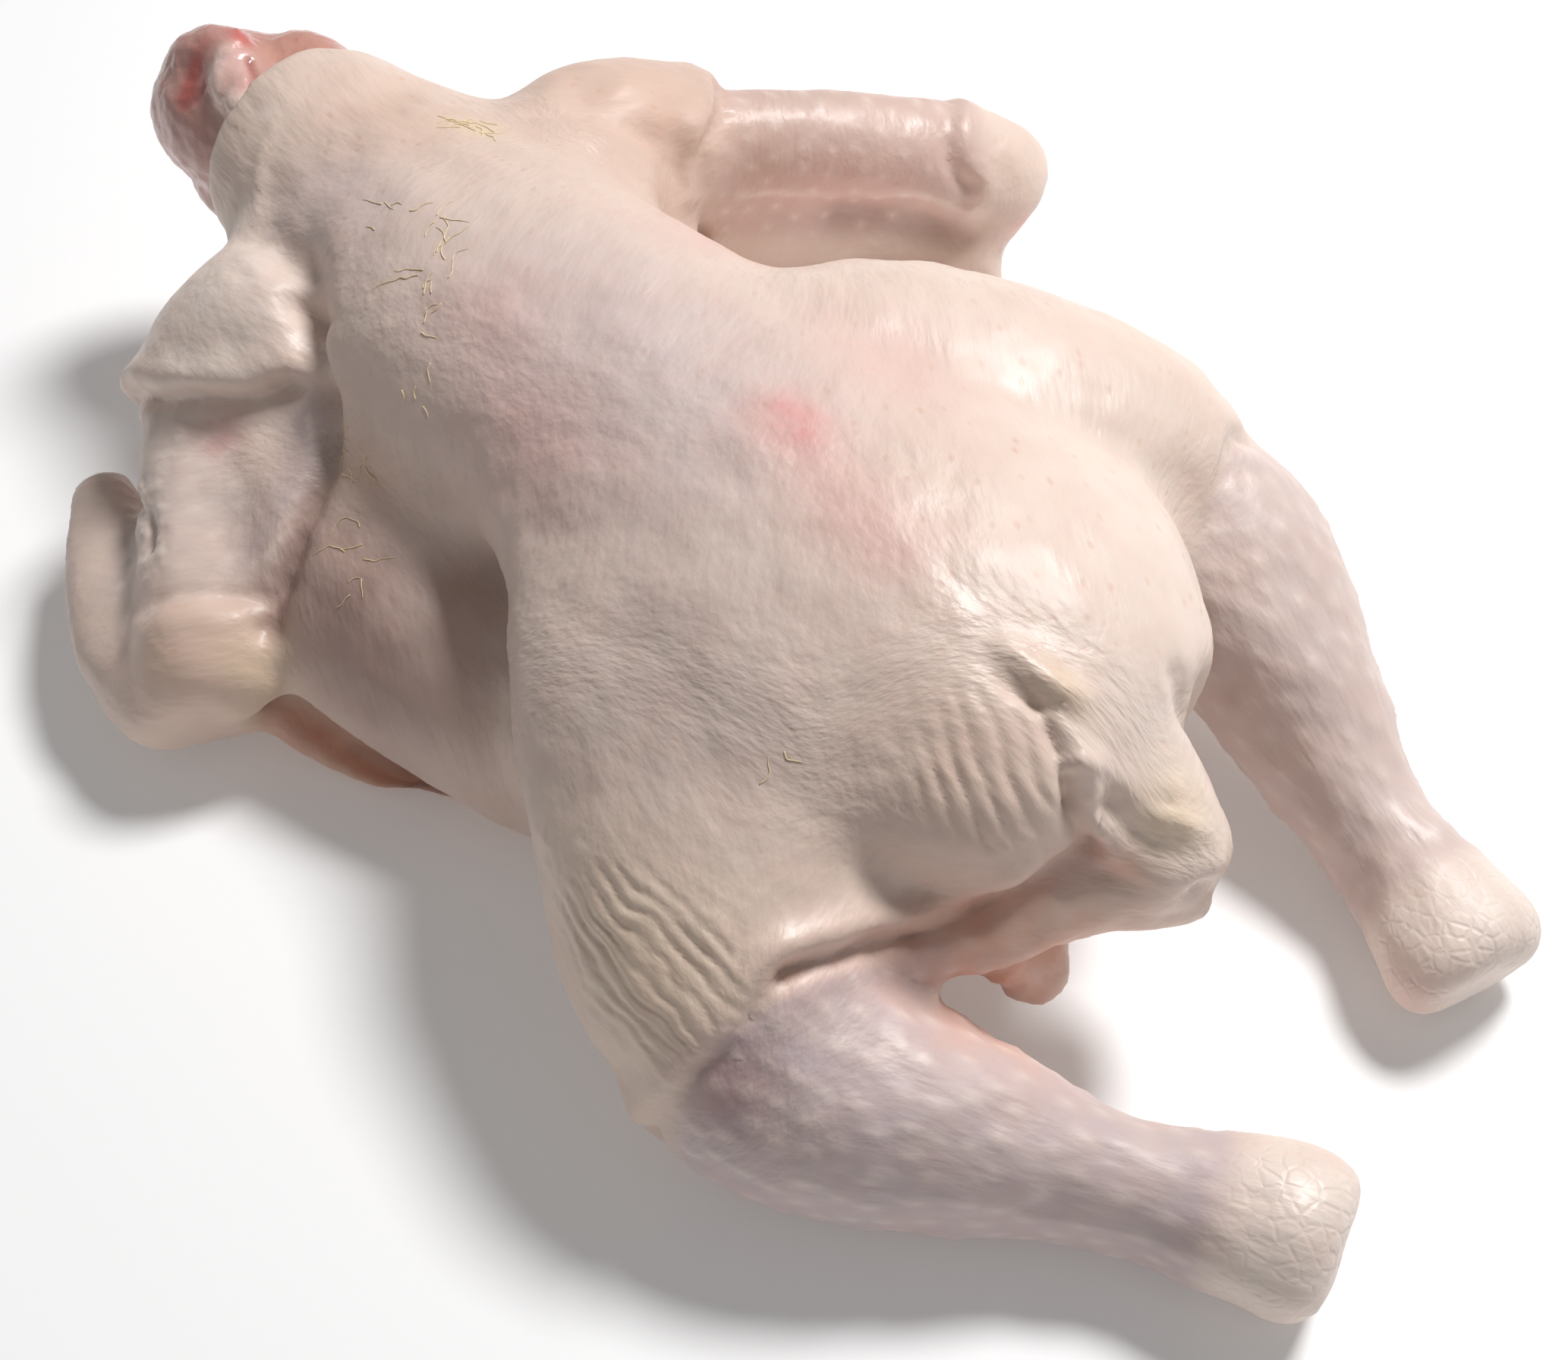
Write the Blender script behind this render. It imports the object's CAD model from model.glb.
"""A whole raw chicken on a white table: the visual model and its studio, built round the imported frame.

Places are in millimetres in the bird's own frame, which BIRD_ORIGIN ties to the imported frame.
+X points to the tail, +Y to the bird's right side and +Z up through its back.
"""

import itertools
import math

import bmesh
import bpy
import numpy as np
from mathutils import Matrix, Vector
from mathutils.bvhtree import BVHTree
from mathutils.kdtree import KDTree


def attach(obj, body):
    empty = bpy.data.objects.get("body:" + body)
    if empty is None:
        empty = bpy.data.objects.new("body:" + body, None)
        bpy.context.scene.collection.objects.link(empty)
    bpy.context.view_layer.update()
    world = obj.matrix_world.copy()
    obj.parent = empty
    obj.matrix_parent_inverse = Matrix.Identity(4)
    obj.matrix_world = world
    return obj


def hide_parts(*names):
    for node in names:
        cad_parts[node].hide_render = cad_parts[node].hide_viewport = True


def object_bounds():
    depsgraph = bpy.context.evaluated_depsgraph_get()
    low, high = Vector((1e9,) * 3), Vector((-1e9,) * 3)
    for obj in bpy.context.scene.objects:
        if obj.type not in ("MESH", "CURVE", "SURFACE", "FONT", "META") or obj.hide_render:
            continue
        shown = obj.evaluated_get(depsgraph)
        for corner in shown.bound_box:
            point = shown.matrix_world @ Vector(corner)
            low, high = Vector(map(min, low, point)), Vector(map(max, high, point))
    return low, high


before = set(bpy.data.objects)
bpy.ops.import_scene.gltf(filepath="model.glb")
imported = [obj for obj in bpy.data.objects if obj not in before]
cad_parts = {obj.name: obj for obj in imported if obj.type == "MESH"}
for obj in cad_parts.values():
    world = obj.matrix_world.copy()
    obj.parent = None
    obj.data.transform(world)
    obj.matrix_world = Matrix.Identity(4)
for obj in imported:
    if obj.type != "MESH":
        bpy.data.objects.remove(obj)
cad_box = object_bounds()

MM = 0.001
BIRD_ORIGIN = np.array((0.02842, -0.03593, -0.0015))
SEED = 20
rng = np.random.default_rng(SEED)

# ---------------------------------------------------------------- fields over the skin


def noise(places, size, seed=0):
    """Smooth noise from -1 to 1 at places in millimetres, with lumps about one size across."""
    scaled = places / size + seed * 13.7
    base = np.floor(scaled).astype(np.int64)
    share = scaled - base
    share = share**3 * (share * (share * 6 - 15) + 10)
    total = np.zeros(len(places))
    for corner in itertools.product((0, 1), repeat=3):
        x, y, z = (base + np.array(corner)).T
        mixed = (x * 73856093) ^ (y * 19349663) ^ (z * 83492791) ^ (seed * 9781 + 77)
        mixed = ((mixed ^ (mixed >> 13)) * 1274126177) & 0xFFFFFFFF
        mixed = ((mixed ^ (mixed >> 15)) * 2246822519) & 0xFFFFFFFF
        value = ((mixed >> 8) & 0xFFFF) / 32767.5 - 1
        weight = np.where(np.array(corner) == 1, share, 1 - share).prod(axis=1)
        total += weight * value
    return total


def two_noise(places, size, seed=0):
    return 0.7 * noise(places, size, seed) + 0.3 * noise(places, size * 0.45, seed + 50)


def smoothed(low, high, values):
    share = np.clip((values - low) / (high - low), 0, 1)
    return share * share * (3 - 2 * share)


def unit(vector):
    vector = np.array(vector, float)
    return vector / np.linalg.norm(vector)


def curve_points(path, steps=8):
    """A smooth Catmull-Rom line through a path."""
    path = np.array(path, float)
    padded = np.vstack([2 * path[0] - path[1], path, 2 * path[-1] - path[-2]])
    found = []
    for a, b, c, d in zip(padded, padded[1:], padded[2:], padded[3:]):
        for t in np.arange(steps) / steps:
            bend = 2 * b + (c - a) * t + (2 * a - 5 * b + 4 * c - d) * t**2
            found.append(0.5 * (bend + (3 * b - a - 3 * c + d) * t**3))
    return np.array([*found, path[-1]])


def from_line(places, path):
    """For each place: how far it is from the line, and the offset from the line's nearest point."""
    line = curve_points(path) if len(path) > 2 else np.array(path, float)
    nearest = np.full(len(places), np.inf)
    offsets = np.zeros_like(places)
    for start, end in zip(line, line[1:]):
        span = end - start
        along = np.clip((places - start) @ span / (span @ span), 0, 1)
        offset = places - start - along[:, None] * span
        gap = np.linalg.norm(offset, axis=1)
        closer = gap < nearest
        nearest[closer] = gap[closer]
        offsets[closer] = offset[closer]
    return nearest, offsets


def blob(places, centre, radius):
    gap = np.linalg.norm((places - np.array(centre)) / np.array(radius), axis=1)
    return np.exp(-(gap**2))


def band(places, path, half_width):
    return np.exp(-((from_line(places, path)[0] / half_width) ** 2))


def sleeve(places, start, end, radius, soft=5.0):
    """1 on the stretch of limb round the line from start to end, fading over soft at both ends."""
    start, end = np.array(start, float), np.array(end, float)
    length = np.linalg.norm(end - start)
    along = (places - start) @ ((end - start) / length)
    gap = np.linalg.norm(places - start - along[:, None] * (end - start) / length, axis=1)
    ends = smoothed(-soft, soft, along) * smoothed(-soft, soft, length - along)
    return ends * smoothed(-soft, soft, radius - gap)


def past_plane(places, point, normal, soft=2.5):
    return smoothed(-soft, soft, (places - np.array(point)) @ unit(normal))


# ---------------------------------------------------------------- meshes


def to_frame(places):
    return np.asarray(places) * MM + BIRD_ORIGIN


def read_mesh(mesh):
    """Vertex places in millimetres in the bird's frame, and vertex normals."""
    places = np.empty(len(mesh.vertices) * 3)
    mesh.vertices.foreach_get("co", places)
    normals = np.empty(len(mesh.vertices) * 3)
    mesh.vertex_normals.foreach_get("vector", normals)
    return (places.reshape(-1, 3) - BIRD_ORIGIN) / MM, normals.reshape(-1, 3)


def write_mesh(mesh, places):
    low, high = np.array(cad_box[0]), np.array(cad_box[1])
    held = np.clip(to_frame(places), low, high)
    mesh.vertices.foreach_set("co", held.ravel())
    mesh.update()


def new_piece(name, mesh):
    piece = bpy.data.objects.new(name, mesh)
    bpy.context.scene.collection.objects.link(piece)
    return piece


def bake_modifiers(piece):
    graph = bpy.context.evaluated_depsgraph_get()
    graph.update()
    made = bpy.data.meshes.new_from_object(piece.evaluated_get(graph))
    piece.modifiers.clear()
    old = piece.data
    piece.data = made
    bpy.data.meshes.remove(old)


def refine(piece, voxel, smoothings, levels=1):
    """Rounds off the frame's facets and lays an even, fine mesh over it."""
    bm = bmesh.new()
    bm.from_mesh(piece.data)
    bmesh.ops.remove_doubles(bm, verts=bm.verts, dist=0.01 * MM)
    bm.to_mesh(piece.data)
    bm.free()
    if levels:
        rounding = piece.modifiers.new("rounding", "SUBSURF")
        rounding.levels = levels
        rounding.render_levels = levels
    remesh = piece.modifiers.new("remesh", "REMESH")
    remesh.mode = "VOXEL"
    remesh.voxel_size = voxel * MM
    soften = piece.modifiers.new("soften", "SMOOTH")
    soften.factor = 0.5
    soften.iterations = smoothings
    bake_modifiers(piece)


def split_faces(piece, wanted):
    """Cuts the faces of a piece finer where the wanted function of their places is above a half."""
    places, _ = read_mesh(piece.data)
    chosen = wanted(places) > 0.5
    bm = bmesh.new()
    bm.from_mesh(piece.data)
    bm.verts.ensure_lookup_table()
    edges = [e for e in bm.edges if chosen[e.verts[0].index] and chosen[e.verts[1].index]]
    bmesh.ops.subdivide_edges(bm, edges=edges, cuts=1, smooth=0.6, use_grid_fill=True)
    bm.to_mesh(piece.data)
    bm.free()


def pleats(places, way, spacing, wander, seed):
    """Parallel rounded folds, 1 on their crests and 0 in the sharp valleys between them."""
    count = places @ unit(way) / spacing
    count += wander * two_noise(places, 3.5 * spacing, seed)
    return np.abs(np.sin(math.pi * count))


def tube(stations, sides=12):
    """A closed tube in a bmesh-ready form through stations of x, y, z, radius."""
    rows = curve_points(stations, 5)
    bm = bmesh.new()
    rings = []
    tangents = np.gradient(rows[:, :3], axis=0)
    across = Vector((0.3, 0.5, 1)).cross(Vector(tangents[0])).normalized()
    for row, tangent in zip(rows, tangents):
        along = Vector(tangent).normalized()
        across = (across - along * across.dot(along)).normalized()
        upward = along.cross(across)
        ring = []
        for k in range(sides):
            turn = 2 * math.pi * k / sides
            offset = (across * math.cos(turn) + upward * math.sin(turn)) * max(row[3], 0.05)
            ring.append(bm.verts.new(to_frame(np.array(row[:3]) + np.array(offset))))
        rings.append(ring)
    for first, second in zip(rings, rings[1:]):
        for k in range(sides):
            j = (k + 1) % sides
            bm.faces.new((first[k], first[j], second[j], second[k]))
    bm.faces.new(rings[0][::-1])
    bm.faces.new(rings[-1])
    bmesh.ops.recalc_face_normals(bm, faces=bm.faces)
    mesh = bpy.data.meshes.new("tube")
    bm.to_mesh(mesh)
    bm.free()
    return mesh


def joined(name, meshes):
    bm = bmesh.new()
    for mesh in meshes:
        bm.from_mesh(mesh)
        bpy.data.meshes.remove(mesh)
    whole = bpy.data.meshes.new(name)
    bm.to_mesh(whole)
    bm.free()
    return new_piece(name, whole)


def scattered(places, weights, spacing, seed):
    """Places picked from a list, at least a spacing apart, where the weight is above chance."""
    picker = np.random.default_rng(seed)
    order = picker.permutation(len(places))
    order = order[weights[order] > picker.random(len(order))]
    taken = {}
    kept = []
    for index in order:
        place = places[index]
        cell = tuple((place // spacing).astype(int))
        near = (taken.get(tuple(np.array(cell) + step), ()) for step in NEIGHBOURS)
        if any(np.sum((place - other) ** 2) < spacing**2 for group in near for other in group):
            continue
        taken.setdefault(cell, []).append(place)
        kept.append(place)
    return np.array(kept)


NEIGHBOURS = [np.array(step) for step in itertools.product((-1, 0, 1), repeat=3)]


def dots(places, centres, stretch=None, amount=1.0):
    """How close each place is to its nearest dot, in millimetres, with dots drawn out along stretch."""
    tree = KDTree(len(centres))
    for index, centre in enumerate(centres):
        tree.insert(centre, index)
    tree.balance()
    gaps = np.empty(len(places))
    for index, place in enumerate(places):
        _, nearest, gap = tree.find(place)
        if stretch is not None and gap < 6:
            offset = place - centres[nearest]
            along = offset @ stretch[index]
            gap = math.sqrt(max(gap * gap - along * along * amount, 0))
        gaps[index] = gap
    return gaps


# ---------------------------------------------------------------- named places of the bird

NEAR_KNEE = ((78, -45, 54), (74, -55, 58), (69, -72, 62), (69, -86, 54), (64, -97, 40), (58, -98, 20))
FAR_KNEE = ((49, 104, 58), (49, 93, 74), (55, 80, 69), (58, 72, 60), (66, 62, 40))
NEAR_DRUM_PLANE = ((69, -80, 59), (0.96, -0.26, -0.08))
FAR_DRUM_PLANE = ((53, 83, 70), (0.93, 0.37, 0.04))
NEAR_LEG = ((55, -78, 30), (170, -23, 18))
FAR_LEG = ((40, 94, 52), (158, 52, 16))
NEAR_ELBOW = (
    (-166, -58, 48),
    (-157, -61, 58),
    (-146, -60, 63),
    (-135, -55, 67),
    (-126, -48, 68),
    (-119, -40, 72),
)
FAR_ELBOW = ((-124, 104, 78), (-116, 97, 78), (-110, 86, 76), (-108, 82, 66))
NEAR_FOREARM = ((-150, -58, 50), (-104, -84, 38))
FAR_FOREARM = ((-122, 98, 62), (-86, 158, 46))
RUMP_LIP = ((69, -71, 62), (73, -56, 58), (79, -43, 55), (84, -33, 57), (90, -20, 63), (94, -11, 67))
TAIL_CREASE = ((87, -13, 84), (90, -14, 80), (92, -14, 75), (94, -11, 67))
WING_POCKET = (
    (-126, -31, 88),
    (-116, -35, 80),
    (-107, -40, 73),
    (-100, -48, 64),
    (-95, -60, 56),
    (-88, -76, 42),
)
FLANK_HOLLOW = ((-50, -42, 60), (-30, -52, 62), (-14, -62, 58), (0, -72, 48), (4, -76, 30))
SIDE_EDGE = ((-90, -81, 21), (-80, -78, 18), (-72, -76, 15), (-63, -73, 11), (-54, -70, 8), (-40, -68, 6))
WEB_EDGE = ((-111, -42, 68), (-105, -47, 65), (-101, -54, 61), (-98, -62, 56), (-97, -68, 51))
FAR_WEB_LINE = (
    (-109, 96, 56),
    (-103, 107, 54),
    (-97, 119, 51),
    (-90, 129, 49),
    (-81, 139, 47),
    (-73, 149, 41),
)
FAR_HOLLOW = ((-100, 124, 43), (-90, 140, 38), (-78, 150, 32))
FAT_LEDGE = ((64, -6, 98), (69, -7, 97), (75, -5, 95), (81, -2, 93))
TAIL_RIDGE = ((89, -7, 86), (92, -4, 81), (102, 0, 74), (109, 6, 69))
COLLAR = ((-176, 34, 94), (-175, 22, 99), (-173, 10, 98), (-171, 0, 96), (-166, -10, 91), (-160, -16, 88))
NEAR_WRIST_EDGE = ((-112, -96, 44), (-106, -88, 47), (-98, -80, 47), (-92, -74, 46))
FAR_WRIST_EDGE = ((-91, 160, 58), (-84, 150, 60), (-78, 146, 55), (-73, 148, 48))
HAND_GAP = ((-160, -66, 38), (-151, -72, 40), (-141, -76, 44), (-130, -79, 49), (-122, -84, 47))

# Deep creases: line, depth, half width, and which way the skin swells beside it, and by how much.
CREASES = (
    (NEAR_ELBOW, 3.6, 2.6, (-0.4, 0.6, 0.6), 2.2),
    (FAR_ELBOW, 2.6, 2.2, (-0.7, -0.5, 0.3), 1.6),
    (RUMP_LIP, 2.2, 2.6, (-0.7, 0.2, 0.6), 1.6),
    (NEAR_KNEE, 1.6, 2.2, (-1.0, 0.2, 0.1), 1.5),
    (FAR_KNEE, 1.6, 2.4, (-0.9, -0.3, 0.1), 1.3),
    (TAIL_CREASE, 3.6, 1.9, (0.5, 0.8, 0.2), 1.8),
    (((70, -9, 98), (77, -10, 95), (84, -12, 89)), 1.6, 2.0, (0.5, 0.8, 0.4), 1.6),
    (WING_POCKET, 6.0, 4.0, (0, 0, 0), 0),
    (FLANK_HOLLOW, 7.0, 8.0, (0.3, 0.5, 0.7), 1.5),
    (SIDE_EDGE, 8.0, 5.5, (0.1, 0.2, 1.0), 1.6),
    (WEB_EDGE, -1.1, 1.6, (0, 0, 0), 0),
    (FAR_WEB_LINE, -0.6, 1.5, (0, 0, 0), 0),
    (FAR_HOLLOW, 4.0, 5.0, (0, 0, 0), 0),
    (FAT_LEDGE, -1.6, 2.2, (0, 0, 0), 0),
    (((65, -11, 96), (72, -11, 94), (79, -7, 92), (85, -6, 88)), 1.8, 1.8, (0, 0, 0), 0),
    (TAIL_RIDGE, -1.3, 2.0, (0, 0, 0), 0),
    (((94, -9, 77), (101, -5, 70), (108, 1, 65)), 2.0, 2.2, (0, 0, 0), 0),
    (HAND_GAP[:2], 3.0, 3.5, (0, 0, 0), 0),
    (COLLAR, -0.9, 1.6, (0, 0, 0), 0),
    (NEAR_WRIST_EDGE, 1.4, 2.6, (0.7, -0.4, -0.5), 1.2),
    (FAR_WRIST_EDGE, 1.8, 2.4, (0.5, 0.7, -0.4), 1.4),
    (HAND_GAP, 2.0, 2.0, (-0.2, -0.8, 0.3), 1.0),
    (((-150, -22, 88), (-140, -24, 89), (-128, -24, 90), (-118, -30, 86)), 3.0, 4.5, (0, 0, 0), 0),
    (((-156, -20, 84), (-150, -30, 84), (-142, -33, 86)), 1.6, 2.0, (0, 0, 0), 0),
    (((-131, 48, 98), (-121, 58, 94), (-112, 72, 86), (-108, 82, 74)), 2.4, 3.2, (0, 0, 0), 0),
    (((88, 20, 88), (91, 20, 80), (94, 21, 70)), 3.0, 2.5, (0, 0, 0), 0),
    (((98, -10, 62), (104, -6, 60), (111, 2, 58)), 3.0, 2.5, (0, 0, 0), 0),
)

# Soft swellings: centre, reach, rise.
SWELLINGS = (
    ((-86, -87, 22), (10, 9, 13), 4.0),
    ((-100, -96, 38), (16, 12, 12), 1.2),
    ((109, -1, 55), (9, 9, 8), 1.6),
    ((30, -82, 60), (22, 14, 20), 0.8),
)

# Which way the skin's fine wrinkles run: centre, reach, and direction.
GRAINS = (
    ((-60, 0, 104), (60, 30, 20), (0.35, -0.9, -0.2)),
    ((-50, -35, 85), (50, 22, 25), (0.30, -0.45, -0.85)),
    ((0, -20, 100), (40, 26, 22), (0.45, -0.75, -0.45)),
    ((30, 40, 100), (45, 40, 25), (0.75, -0.6, -0.2)),
    ((30, -70, 70), (32, 26, 26), (0.75, -0.2, -0.6)),
    ((50, -88, 55), (24, 18, 22), (0.97, -0.1, -0.1)),
    ((62, -60, 66), (16, 22, 12), (0.35, -0.9, -0.1)),
    ((76, -26, 86), (18, 18, 18), (0.80, -0.15, -0.58)),
    ((100, -58, 35), (40, 30, 30), (0.86, 0.48, -0.12)),
    ((100, 75, 40), (50, 35, 35), (0.90, -0.32, -0.28)),
    ((-140, -40, 75), (26, 24, 20), (0.65, 0.3, -0.6)),
    ((-125, -74, 45), (26, 22, 16), (-0.5, -0.8, 0.1)),
    ((-98, -86, 34), (18, 16, 16), (0.5, 0.8, 0.0)),
    ((-150, 10, 98), (26, 26, 12), (0.9, -0.2, 0.2)),
    ((-120, 80, 80), (26, 26, 20), (0.5, 0.8, 0.0)),
    ((-95, 135, 60), (26, 34, 20), (0.8, -0.5, 0.1)),
    ((-70, -62, 50), (34, 16, 24), (0.5, -0.2, -0.85)),
)


def grain_of(places):
    """The direction of the fine wrinkles, and places squeezed along it so that noise draws out."""
    weights = np.array([blob(places, centre, reach) + 1e-6 for centre, reach, _ in GRAINS])
    weights /= weights.sum(axis=0)
    direction = sum(w[:, None] * unit(way) for w, (_, _, way) in zip(weights, GRAINS))
    direction /= np.linalg.norm(direction, axis=1)[:, None] + 1e-9
    squeezed = np.zeros_like(places)
    for weight, (centre, _, way) in zip(weights, GRAINS):
        offset = places - np.array(centre)
        squeezed += weight[:, None] * (places - (offset @ unit(way))[:, None] * unit(way) * 0.8)
    return direction, squeezed


def sculpt_creases(places, normals):
    moved = np.zeros(len(places))
    for path, depth, half_width, swell_way, swell in CREASES:
        gap, offset = from_line(places, path)
        wobble = 1 + 0.35 * noise(places, 5, 3)
        moved -= depth * wobble * np.exp(-((gap / half_width) ** 2))
        if swell:
            side = smoothed(-0.3, 0.6, offset @ unit(swell_way) / (gap + 0.3))
            moved += swell * side * np.exp(-(((gap - 1.9 * half_width) / (1.7 * half_width)) ** 2))
    for centre, reach, rise in SWELLINGS:
        moved += rise * blob(places, centre, reach)
    return moved


VOXEL = 1.75
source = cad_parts["carcass"].data.copy()
source.name = "skin"
skin = new_piece("skin", source)
refine(skin, VOXEL, 8)


def fine_zone(places):
    """Where narrow folds need a finer mesh than the rest of the skin."""
    folds = blob(places, (78, -20, 82), (26, 20, 22)) + blob(places, (47, -85, 58), (28, 18, 22))
    return folds + 1.3 * band(places, HAND_GAP, 9)


split_faces(skin, fine_zone)
places, normals = read_mesh(skin.data)
print("SKIN", len(places), "vertices", sum(len(f.vertices) - 2 for f in skin.data.polygons), "triangles")
places = places + normals * sculpt_creases(places, normals)[:, None]
write_mesh(skin.data, places)
soften = skin.modifiers.new("settle", "SMOOTH")
soften.factor = 0.4
soften.iterations = 2
bake_modifiers(skin)
places, normals = read_mesh(skin.data)
direction, squeezed = grain_of(places)

near_drum = past_plane(places, *NEAR_DRUM_PLANE) * sleeve(places, *NEAR_LEG, 36, 6)
far_drum = past_plane(places, *FAR_DRUM_PLANE) * sleeve(places, *FAR_LEG, 36, 6)
near_hock = sleeve(places, (150, -32, 18), (190, -14, 18), 40, 5)
far_hock = sleeve(places, (138, 60, 17), (190, 42, 14), 40, 5)
near_arm = sleeve(places, *NEAR_FOREARM, 21, 4)
far_arm = sleeve(places, *FAR_FOREARM, 21, 4)
near_wrist = sleeve(places, (-106, -82, 34), (-80, -100, 14), 32, 4)
far_wrist = sleeve(places, (-88, 150, 48), (-60, 176, 26), 32, 4)
hock = np.maximum(near_hock, far_hock)
drum = np.maximum(near_drum, far_drum) * (1 - hock)
arm = np.maximum(near_arm, far_arm) * (1 - np.maximum(near_wrist, far_wrist))

under = smoothed(14, 3, places[:, 2])
wrinkle = 1 - np.abs(two_noise(squeezed, 3.2, 5)) * 2
lumps = two_noise(places, 14, 6)
thigh_end = blob(places, (47, -85, 58), (27, 17, 20)) * (1 - near_drum)
tail_side = blob(places, (75, -25, 85), (19, 14, 17))
tail_fat = blob(places, (104, 2, 74), (9, 9, 8)) + blob(places, (76, -4, 95), (8, 4, 5))
hanging = blob(places, (85, -28, 38), (21, 22, 30)) * smoothed(64, 57, places[:, 2])
back_ridges = blob(places, (-50, -20, 95), (50, 34, 26))
rough_gap = band(places, HAND_GAP, 7)
relief = 0.9 * lumps + wrinkle * (0.12 + 0.16 * back_ridges)
uneven = 0.65 + 0.5 * two_noise(places, 9, 14)
relief += 1.15 * tail_side * uneven * (pleats(places, (0.56, 0.745, 0.38), 4.4, 0.65, 8) - 0.65)
relief += 1.0 * thigh_end * uneven * (pleats(places, (0.22, 0.64, 0.72), 3.7, 1.1, 9) - 0.65)
relief += 1.0 * rough_gap * two_noise(places, 3.4, 11)
relief += 1.0 * tail_fat * two_noise(places, 3.2, 12)
relief += 1.5 * hanging * two_noise(places, 6, 13)
relief += 0.3 * drum * two_noise(places, 5, 10)

papule_places = scattered(places, 0.6 * (drum + 0.3 * arm), 5.6, 1)
papule_gaps = dots(places, papule_places, direction, 0.75)
papules = np.exp(-((papule_gaps / 1.25) ** 2)) * np.clip(drum + arm, 0, 1)
relief += 0.4 * papules * (1 - 0.6 * far_arm)
relief *= 1 - under
places = places + normals * relief[:, None]
write_mesh(skin.data, places)

# ---------------------------------------------------------------- colour of the skin

CREAM = np.array((0.78, 0.62, 0.53))
IVORY = np.array((0.88, 0.75, 0.67))
PEACH = np.array((0.70, 0.47, 0.36))
LILAC = np.array((0.60, 0.49, 0.49))
PINK = np.array((0.76, 0.40, 0.37))
RED = np.array((0.72, 0.17, 0.17))
RUST = np.array((0.80, 0.44, 0.32))
BROWN = np.array((0.36, 0.22, 0.19))
WET_DARK = np.array((0.15, 0.05, 0.035))
BRUISE = np.array((0.38, 0.21, 0.22))
YELLOW = np.array((0.80, 0.64, 0.40))
GREY = np.array((0.47, 0.39, 0.36))

tint = np.tile(CREAM, (len(places), 1))


def paint(colour, mask, breakup=0.25, size=7, seed=20):
    """Lays a colour over the tint where the mask is, with its edge broken up by noise."""
    global tint
    share = np.clip(mask * (1 + breakup * two_noise(places, size, seed)), 0, 1)[:, None]
    tint = tint * (1 - share) + colour * share


paint(IVORY, 0.6 * blob(places, (40, 40, 98), (50, 44, 40)))
paint(IVORY, 0.6 * blob(places, (92, 5, 78), (24, 22, 26)))
paint(IVORY, 0.6 * blob(places, (72, 40, 60), (20, 34, 30)))
paint(IVORY, 0.95 * blob(places, (-146, -40, 76), (28, 22, 24)))
paint(LILAC, 0.75 * blob(places, (-40, -5, 100), (60, 30, 30)))
paint(LILAC, 0.55 * blob(places, (-135, -8, 98), (22, 16, 14)))
paint(LILAC, 0.9 * near_drum * drum)
paint(LILAC, 0.5 * far_drum * drum)
paint(LILAC, 0.35 * near_arm)
paint(IVORY, 0.5 * near_arm)
paint(LILAC, 0.6 * far_arm)
paint(PEACH, 0.4 * far_arm)
paint(BROWN, 0.30 * blob(places, (-118, 88, 76), (40, 62, 40)))
paint(BROWN, 0.8 * blob(places, (-78, -62, 48), (30, 20, 26)))
paint(BROWN, 0.6 * blob(places, (-55, -68, 38), (22, 16, 24)))
paint(GREY, 0.6 * blob(places, (20, -52, 88), (34, 26, 26)))
paint(GREY, 0.5 * band(places, FLANK_HOLLOW, 14))
paint(PEACH, 0.6 * blob(places, (-126, 76, 86), (28, 30, 26)))
paint(PEACH, 0.45 * blob(places, (-148, 20, 100), (24, 20, 12)))
paint(PEACH, 0.30 * blob(places, (30, 15, 104), (30, 24, 14)))
paint(PINK, 0.35 * blob(places, (-45, -28, 95), (22, 12, 20)))
paint(PINK, 0.25 * blob(places, (-74, -15, 102), (16, 12, 12)))
paint(PINK, 0.30 * blob(places, (-66, 40, 96), (14, 14, 14)))
paint(PINK, 0.35 * blob(places, (-2, 35, 104), (20, 14, 14)))
paint(PINK, 0.45 * band(places, ((-4, 4, 107), (10, -1, 106), (24, -4, 105), (34, -6, 103)), 9))
paint(RED, 0.45 * blob(places, (-1, 4, 107), (8, 6, 10)), 0.7, 3)
paint(RED, 0.35 * blob(places, (-128, -56, 60), (6, 6, 6)), 0.7, 3)
paint(PINK, 0.4 * blob(places, (-92, 124, 52), (22, 26, 10)))
paint(BROWN, 0.75 * band(places, FAR_HOLLOW, 6))
paint(IVORY, 0.5 * band(places, FAR_WEB_LINE, 1.3))
paint(RED, 0.35 * blob(places, (-65, 161, 31), (7, 7, 6)))
paint(BRUISE, 0.75 * blob(places, (73, -90, 49), (9, 9, 10)))
paint(YELLOW, 0.3 * thigh_end)
paint(YELLOW, 0.5 * tail_fat)
paint(PEACH, 0.35 * tail_side)
paint(PINK, 0.22 * band(places, RUMP_LIP, 7))
paint((RUST + IVORY) / 2, 0.5 * hanging)
paint(RUST, 0.8 * hanging, 0.9, 6)
paint(IVORY, 0.6 * blob(places, (110, -3, 57), (11, 10, 9)))
paint(RUST, 0.6 * blob(places, (100, -8, 64), (5, 4, 4)))
paint(RED, 0.9 * blob(places, (108, 17, 70), (2.4, 2.4, 2.4)))
paint(PEACH, 0.75 * blob(places, (-100, -94, 36), (19, 14, 15)))
paint(YELLOW, 0.5 * blob(places, (-86, -84, 34), (8, 8, 14)))
paint(RUST, 0.8 * band(places, ((-88, -80, 9), (-72, -76, 7), (-52, -71, 5), (-34, -64, 5)), 8))
paint(BROWN, 0.85 * band(places, WING_POCKET[2:], 3.5))
paint(PEACH, 0.9 * blob(places, (-95, -53, 61), (3, 3, 3)))
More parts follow.
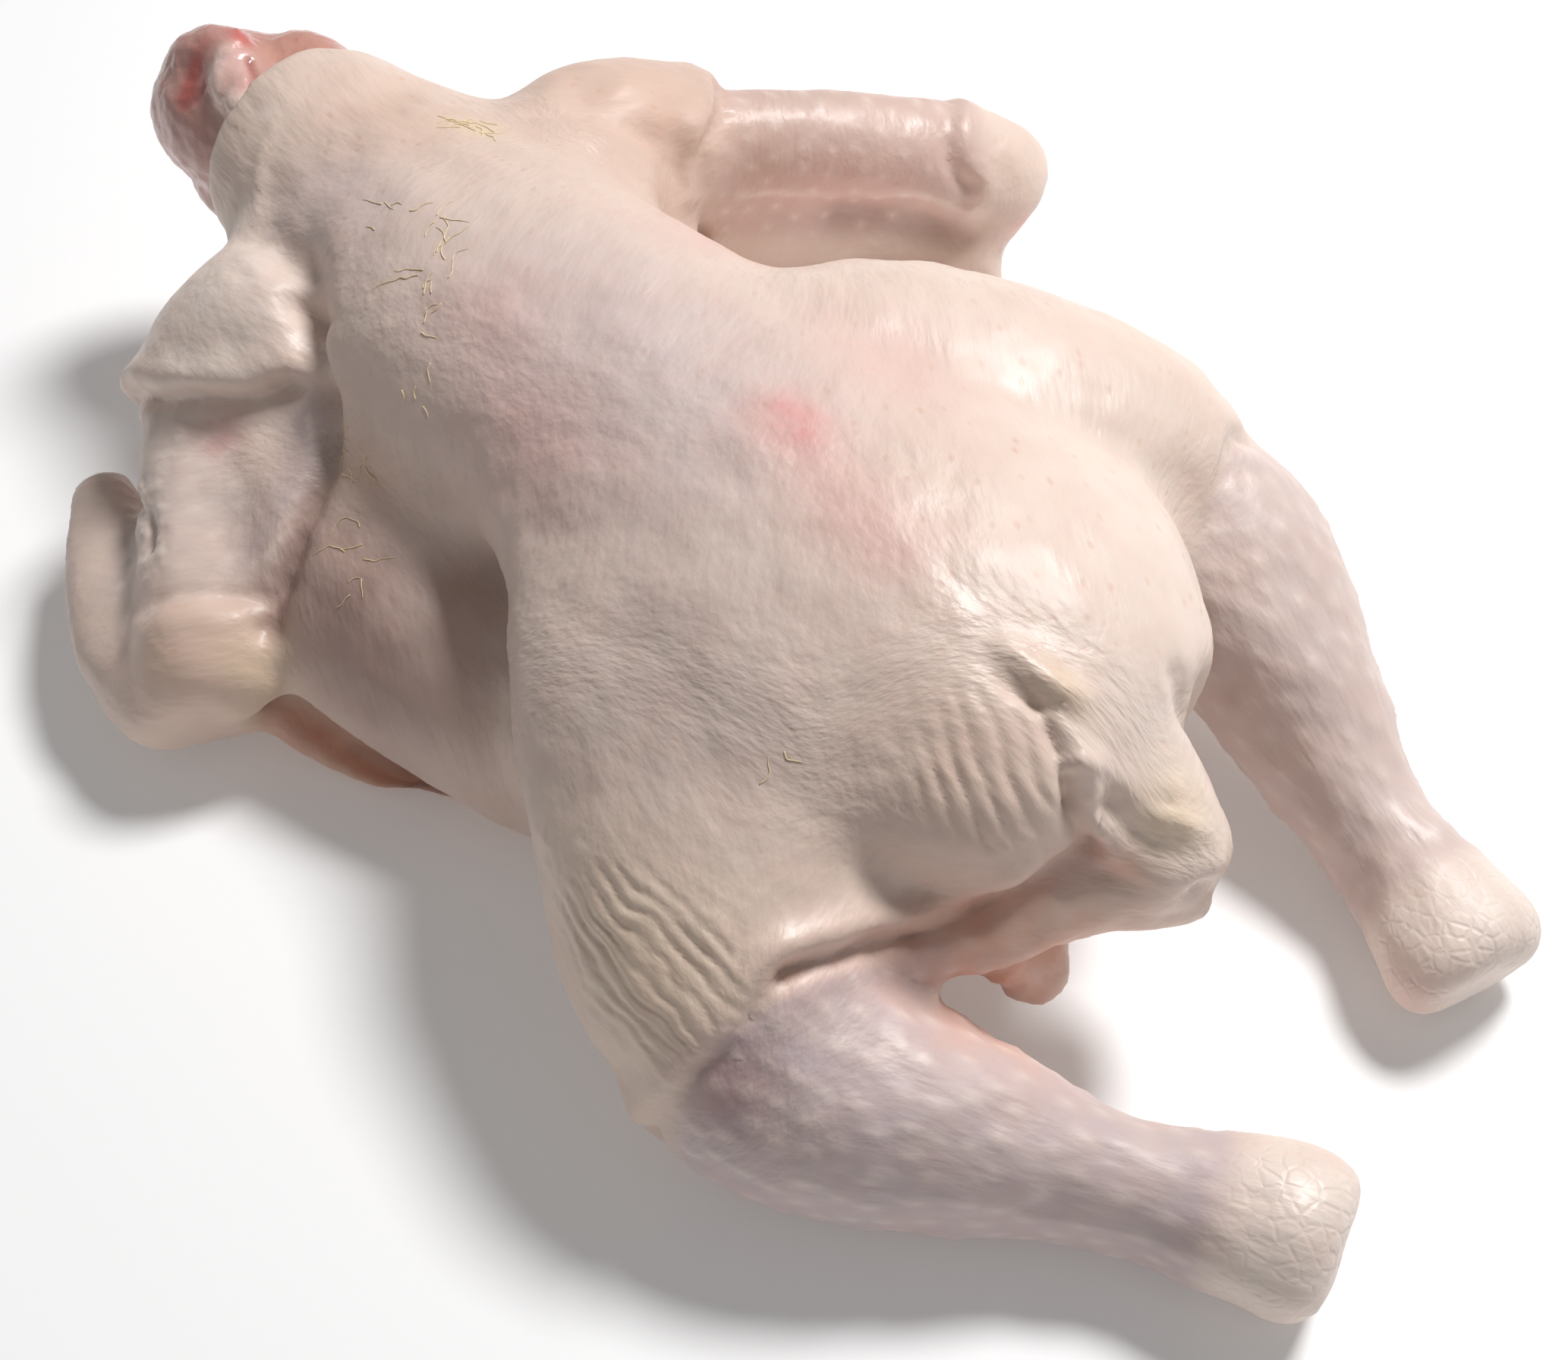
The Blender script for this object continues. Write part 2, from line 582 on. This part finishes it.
paint(PEACH, 0.6 * blob(places, (-88, -44, 67), (11, 6, 12)))
paint(LILAC, 0.8 * band(places, WEB_EDGE, 7) * smoothed(0, 4, -places[:, 0] - 98))
paint(IVORY, 0.6 * band(places, WEB_EDGE, 1.6))
paint(RUST, 0.8 * band(places, HAND_GAP[:3], 3.5))
paint(WET_DARK, 0.95 * band(places, SIDE_EDGE, 3.5))
paint(YELLOW, 0.5 * blob(places, (-130, 30, 101), (7, 6, 4)))
paint(IVORY, 0.8 * blob(places, (-175, 1, 98), (2.5, 2.5, 2.5)))
paint(IVORY, 0.45 * papules)
paint(GREY, 0.35 * band(places, ((-166, -68, 31), (-140, -84, 28), (-118, -94, 26)), 14))
paint(IVORY, 0.85 * hock)
paint(RED, 0.6 * blob(places, (176, -26, 24), (3, 3, 3)))
paint(RED, 0.45 * band(places, ((146, 35, 22), (158, 35, 18), (168, 38, 12)), 1.4))
paint(PINK, 0.3 * blob(places, (150, 34, 16), (16, 8, 12)))

layer = skin.data.color_attributes.new("tint", "FLOAT_COLOR", "POINT")
layer.data.foreach_set("color", np.hstack([np.clip(tint, 0, 1), np.ones((len(tint), 1))]).ravel())


def keep_field(name, values):
    field = skin.data.attributes.new(name, "FLOAT", "POINT")
    field.data.foreach_set("value", np.asarray(values, np.float32))


hip_pores = 0.65 * blob(places, (40, 35, 98), (46, 40, 30))
shoulder_pores = 0.5 * blob(places, (-140, 30, 95), (40, 50, 30))
pore_share = 0.35 + hip_pores + shoulder_pores
keep_field("pores", pore_share * (1 - np.clip(drum + arm, 0, 1)))
keep_field("scales", hock * np.clip(0.75 + 0.5 * noise(places, 7, 21), 0, 1))
keep_field("muscle", np.clip(drum + arm, 0, 1))
flow = skin.data.attributes.new("flow", "FLOAT_VECTOR", "POINT")
flow.data.foreach_set("vector", (squeezed * MM).ravel())
skin.data.shade_smooth()

# ---------------------------------------------------------------- materials


class Shader:
    """A small wrapper that adds nodes to a material and wires them."""

    def __init__(self, name):
        self.material = bpy.data.materials.new(name)
        self.material.use_nodes = True
        self.tree = self.material.node_tree
        self.skin = self.tree.nodes["Principled BSDF"]

    def add(self, kind, settings=None, **inputs):
        node = self.tree.nodes.new("ShaderNode" + kind)
        for key, value in (settings or {}).items():
            setattr(node, key, value)
        for key, value in inputs.items():
            self.feed(node, key.replace("_", " "), value)
        return node

    def feed(self, node, key, value):
        socket = node.inputs[int(key[1:]) if key[0] == "i" and key[1:].isdigit() else key]
        if isinstance(value, bpy.types.NodeSocket):
            self.tree.links.new(value, socket)
        else:
            socket.default_value = value

    def ramp(self, value, low, high):
        node = self.add("MapRange", {"interpolation_type": "SMOOTHSTEP"}, Value=value)
        node.inputs["From Min"].default_value = low
        node.inputs["From Max"].default_value = high
        return node.outputs["Result"]

    def math(self, operation, first, second):
        return self.add("Math", {"operation": operation}, i0=first, i1=second).outputs[0]

    def mix(self, share, first, second, blend="MIX"):
        node = self.add("Mix", {"data_type": "RGBA", "blend_type": blend})
        self.feed(node, "i0", share)
        self.feed(node, "i6", first)
        self.feed(node, "i7", second)
        return node.outputs[2]


MOTTLE_RED = (0.70, 0.47, 0.40, 1)
PORE_ORANGE = (0.66, 0.38, 0.25, 1)
PORES_PER_METRE = 230.0
SCALES_PER_METRE = 290.0


def skin_material():
    s = Shader("chicken_skin")
    tint_node = s.add("Attribute", {"attribute_name": "tint"})
    scales = s.add("Attribute", {"attribute_name": "scales"}).outputs["Fac"]
    muscle = s.add("Attribute", {"attribute_name": "muscle"}).outputs["Fac"]
    flow_node = s.add("Attribute", {"attribute_name": "flow"}).outputs["Vector"]
    place = s.add("TexCoord").outputs["Object"]
    mottle = s.add("TexNoise", Vector=place, Scale=90.0, Detail=4.0).outputs["Fac"]
    fine = s.add("TexNoise", Vector=flow_node, Scale=420.0, Detail=3.0).outputs["Fac"]
    drawn = s.mix(0.55, place, flow_node)
    pores = s.add("TexVoronoi", Vector=drawn, Scale=PORES_PER_METRE).outputs["Distance"]
    pore = s.ramp(pores, 0.26, 0.04)
    plates = s.add("TexVoronoi", {"feature": "DISTANCE_TO_EDGE"}, Vector=place, Scale=SCALES_PER_METRE)
    groove = s.ramp(plates.outputs["Distance"], 0.0, 0.22)
    mottling = s.math("MULTIPLY", s.ramp(mottle, 0.35, 0.75), 0.22)
    colour = s.mix(mottling, tint_node.outputs["Color"], MOTTLE_RED)
    pores_here = s.add("Attribute", {"attribute_name": "pores"}).outputs["Fac"]
    body_pore = s.math("MULTIPLY", pore, s.math("MULTIPLY", pores_here, s.math("SUBTRACT", 1.0, scales)))
    colour = s.mix(s.math("MULTIPLY", body_pore, 0.42), colour, PORE_ORANGE)
    s.feed(s.skin, "Base Color", colour)
    gloss = s.add("TexNoise", Vector=place, Scale=60.0, Detail=3.0).outputs["Fac"]
    roughness = s.add("MapRange", Value=gloss)
    roughness.inputs["From Min"].default_value = 0.3
    roughness.inputs["From Max"].default_value = 0.7
    roughness.inputs["To Min"].default_value = 0.36
    roughness.inputs["To Max"].default_value = 0.58
    s.feed(s.skin, "Roughness", roughness.outputs["Result"])
    broad = s.add("TexNoise", Vector=flow_node, Scale=190.0, Detail=2.0).outputs["Fac"]
    height = s.math("ADD", s.math("MULTIPLY", fine, 0.6), s.math("MULTIPLY", broad, 0.9))
    height = s.math("SUBTRACT", height, s.math("MULTIPLY", body_pore, 0.22))
    height = s.math("ADD", height, s.math("MULTIPLY", s.math("MULTIPLY", groove, scales), 0.28))
    bump = s.add("Bump", Height=height, Strength=0.8, Distance=0.0006)
    s.feed(s.skin, "Normal", bump.outputs["Normal"])
    s.skin.inputs["Subsurface Weight"].default_value = 0.15
    s.skin.inputs["Subsurface Scale"].default_value = 0.002
    s.skin.inputs["Subsurface Radius"].default_value = (1.0, 0.45, 0.3)
    s.skin.inputs["Specular IOR Level"].default_value = 0.4
    s.skin.inputs["Coat Weight"].default_value = 0.08
    s.skin.inputs["Coat Roughness"].default_value = 0.25
    return s.material


skin.data.materials.clear()
skin.data.materials.append(skin_material())
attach(skin, "root")
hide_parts("carcass")

# ---------------------------------------------------------------- pin feathers and fine hairs

# Tufts: centre, how many threads, how far they spread, and their length.
TUFTS = (
    ((-132, 30, 101), 16, 5, 9),
    ((-119, -7, 102), 4, 4, 8),
    ((-108, -2, 104), 4, 5, 9),
    ((-96, -10, 104), 7, 6, 12),
    ((-90, -20, 102), 6, 5, 9),
    ((-78, -32, 92), 4, 5, 8),
    ((-100, -44, 68), 8, 3, 10),
    ((-90, -44, 68), 5, 6, 10),
    ((-80, -58, 58), 4, 6, 12),
    ((-72, -60, 54), 3, 4, 8),
    ((44, -51, 84), 2, 4, 7),
    ((-10, -76, 20), 3, 5, 8),
)
THREAD_YELLOW = (0.88, 0.70, 0.34, 1)
THREAD_PALE = (0.86, 0.76, 0.56, 1)
THREAD_RADIUS = 0.14
THREAD_STEP = 1.5
THREAD_LIFT = 0.12


def thread(surface, start, length, picker):
    """One thin, curled thread lying on the skin, as stations of x, y, z, radius."""
    place, normal, _, _ = surface.find_nearest(Vector(to_frame(start)))
    way = Vector(picker.normal(size=3))
    stations = []
    steps = max(int(length / THREAD_STEP), 3)
    for step in range(steps):
        lifted = (np.array(place + normal * THREAD_LIFT * MM) - BIRD_ORIGIN) / MM
        stations.append((*lifted, THREAD_RADIUS * (1 - 0.7 * step / steps)))
        curl = Vector(picker.normal(scale=0.45, size=3))
        way = (way + curl).normalized()
        way = (way - normal * way.dot(normal)).normalized()
        place, normal, _, _ = surface.find_nearest(place + way * THREAD_STEP * MM)
    return tube(stations, 5)


def thread_material():
    s = Shader("pin_feather")
    place = s.add("TexCoord").outputs["Object"]
    shade = s.add("TexNoise", Vector=place, Scale=80.0).outputs["Fac"]
    s.feed(s.skin, "Base Color", s.mix(shade, THREAD_YELLOW, THREAD_PALE))
    s.skin.inputs["Roughness"].default_value = 0.4
    return s.material


def pin_feathers():
    bm = bmesh.new()
    bm.from_mesh(skin.data)
    surface = BVHTree.FromBMesh(bm)
    bm.free()
    meshes = []
    for centre, count, spread, length in TUFTS:
        for _ in range(count):
            start = np.array(centre) + rng.normal(scale=spread * 0.6, size=3)
            meshes.append(thread(surface, start, length * rng.uniform(0.5, 1.2), rng))
    threads = joined("pin_feathers", meshes)
    places, _ = read_mesh(threads.data)
    write_mesh(threads.data, places)
    threads.data.materials.append(thread_material())
    threads.data.shade_smooth()
    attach(threads, "root")
    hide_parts("carcass")


pin_feathers()

# ---------------------------------------------------------------- neck


def meat_material():
    s = Shader("neck_meat")
    place = s.add("TexCoord").outputs["Object"]
    flesh = s.add("Attribute", {"attribute_name": "flesh"}).outputs["Color"]
    patch = s.add("TexNoise", Vector=place, Scale=110.0, Detail=4.0).outputs["Fac"]
    colour = s.mix(s.math("MULTIPLY", s.ramp(patch, 0.4, 0.7), 0.35), flesh, (0.56, 0.26, 0.22, 1))
    s.feed(s.skin, "Base Color", colour)
    gloss = s.add("TexNoise", Vector=place, Scale=120.0).outputs["Fac"]
    roughness = s.add("MapRange", Value=gloss)
    roughness.inputs["To Min"].default_value = 0.18
    roughness.inputs["To Max"].default_value = 0.42
    s.feed(s.skin, "Roughness", roughness.outputs["Result"])
    fibre = s.add("TexNoise", Vector=place, Scale=500.0, Detail=2.0).outputs["Fac"]
    bump = s.add("Bump", Height=fibre, Strength=0.5, Distance=0.0004)
    s.feed(s.skin, "Normal", bump.outputs["Normal"])
    s.skin.inputs["Subsurface Weight"].default_value = 0.1
    s.skin.inputs["Subsurface Scale"].default_value = 0.002
    s.skin.inputs["Coat Weight"].default_value = 0.25
    s.skin.inputs["Coat Roughness"].default_value = 0.15
    return s.material


MEAT_VOXEL = 0.9
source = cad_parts["neck"].data.copy()
source.name = "neck_meat"
meat = new_piece("neck_meat", source)
refine(meat, MEAT_VOXEL, 5)
meat_places, meat_normals = read_mesh(meat.data)
MEAT_BASE = np.array((0.60, 0.34, 0.29))
PIPE = ((-199, 11, 96), (-195, 8, 96), (-191, 5, 95), (-189, 2, 93))
PIPE_EDGE = ((-204, 12, 97), (-201, 7, 96), (-198, 3, 94), (-195, -1, 91))
CUT = ((-210, 9, 95), (-209, 4, 92), (-207, -2, 88))
FAT_STRIP = ((-190, 0, 93), (-184, 3, 96), (-178, 8, 99), (-174, 14, 100))
# Parts of the neck: line, half width, rise, colour.
FLESH = (
    (((-196, 25, 95), (-186, 26, 97), (-176, 24, 98)), 9, 0.8, (0.62, 0.32, 0.25)),
    (((-186, -8, 86), (-178, -12, 82)), 12, 0, (0.62, 0.43, 0.39)),
    (((-209, -4, 84), (-203, -7, 78)), 7, 0.8, (0.58, 0.34, 0.30)),
    (CUT, 3.2, -0.3, (0.50, 0.14, 0.12)),
    (((-206, -3, 86), (-203, 2, 91), (-206, 10, 95)), 1.2, -0.6, (0.46, 0.16, 0.14)),
    (PIPE_EDGE, 2.4, 1.3, (0.82, 0.60, 0.53)),
    (PIPE, 3.0, 0.9, (0.74, 0.48, 0.43)),
    (((-197, 12, 96), (-191, 9, 96), (-186, 4, 95)), 1.0, -1.0, (0.45, 0.18, 0.16)),
    (FAT_STRIP, 3.6, 0.9, (0.82, 0.66, 0.57)),
    (((-207, 17, 97), (-204, 15, 98)), 3.0, 0.8, (0.62, 0.16, 0.14)),
)
flesh = np.tile(MEAT_BASE, (len(meat_places), 1))
meat_relief = 0.4 * two_noise(meat_places, 7, 30) + 0.3 * two_noise(meat_places, 2.5, 31)
for path, half_width, rise, colour in FLESH:
    share = np.clip(1.3 * band(meat_places, path, half_width), 0, 1)
    meat_relief += rise * share
    flesh = flesh * (1 - share[:, None]) + np.array(colour) * share[:, None]
write_mesh(meat.data, meat_places + meat_normals * meat_relief[:, None])
layer = meat.data.color_attributes.new("flesh", "FLOAT_COLOR", "POINT")
layer.data.foreach_set("color", np.hstack([flesh, np.ones((len(flesh), 1))]).ravel())
meat.data.materials.clear()
meat.data.materials.append(meat_material())
meat.data.shade_smooth()
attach(meat, "root")
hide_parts("neck")

# ---------------------------------------------------------------- table, lamps and camera


def table():
    mesh = bpy.data.meshes.new("table")
    bm = bmesh.new()
    bmesh.ops.create_grid(bm, size=3.0)
    bm.to_mesh(mesh)
    bm.free()
    floor = new_piece("table", mesh)
    floor.location.z = cad_box[0][2] - 0.0002
    s = Shader("white_table")
    s.skin.inputs["Base Color"].default_value = (0.95, 0.95, 0.95, 1)
    s.skin.inputs["Emission Color"].default_value = (1, 1, 1, 1)
    s.skin.inputs["Emission Strength"].default_value = 0.10
    s.skin.inputs["Roughness"].default_value = 0.9
    s.skin.inputs["Specular IOR Level"].default_value = 0.1
    mesh.materials.append(s.material)


def lamp(name, place, aim, size, power):
    light = bpy.data.lights.new(name, "AREA")
    light.shape = "DISK"
    light.size = size
    light.energy = power
    holder = bpy.data.objects.new(name, light)
    bpy.context.scene.collection.objects.link(holder)
    holder.location = place
    holder.rotation_euler = (Vector(aim) - Vector(place)).to_track_quat("-Z", "Y").to_euler()


table()
LAMP_AZIMUTH = 7  # degrees from +Y towards +X
LAMP_ELEVATION = 61
LAMP_DISTANCE = 1.4
LAMP_POWER = 18.5
LAMP_SIZE = 0.40
WORLD_STRENGTH = 0.21
turn, rise = math.radians(LAMP_AZIMUTH), math.radians(LAMP_ELEVATION)
lamp_way = Vector((math.sin(turn) * math.cos(rise), math.cos(turn) * math.cos(rise), math.sin(rise)))
lamp("softbox", lamp_way * LAMP_DISTANCE, (0, 0, 0.04), LAMP_SIZE, LAMP_POWER)
world = bpy.data.worlds.new("studio")
bpy.context.scene.world = world
world.use_nodes = True
world.node_tree.nodes["Background"].inputs["Color"].default_value = (1, 1, 1, 1)
world.node_tree.nodes["Background"].inputs["Strength"].default_value = WORLD_STRENGTH

CAMERA_AZIMUTH = 44
CAMERA_ELEVATION = 50
CAMERA_DISTANCE = 0.50
CAMERA_AIM = Vector(to_frame((0, 0, 30)))
azimuth, elevation = math.radians(CAMERA_AZIMUTH), math.radians(CAMERA_ELEVATION)
away = Vector(
    (
        math.sin(azimuth) * math.cos(elevation),
        -math.cos(azimuth) * math.cos(elevation),
        math.sin(elevation),
    )
)
camera_data = bpy.data.cameras.new("camera")
camera_data.lens = 50
camera_data.sensor_width = 36
camera = bpy.data.objects.new("camera", camera_data)
bpy.context.scene.collection.objects.link(camera)
camera.location = CAMERA_AIM + away * CAMERA_DISTANCE
camera.rotation_euler = (-away).to_track_quat("-Z", "Y").to_euler()
bpy.context.scene.camera = camera
bpy.context.scene.view_settings.view_transform = "Standard"
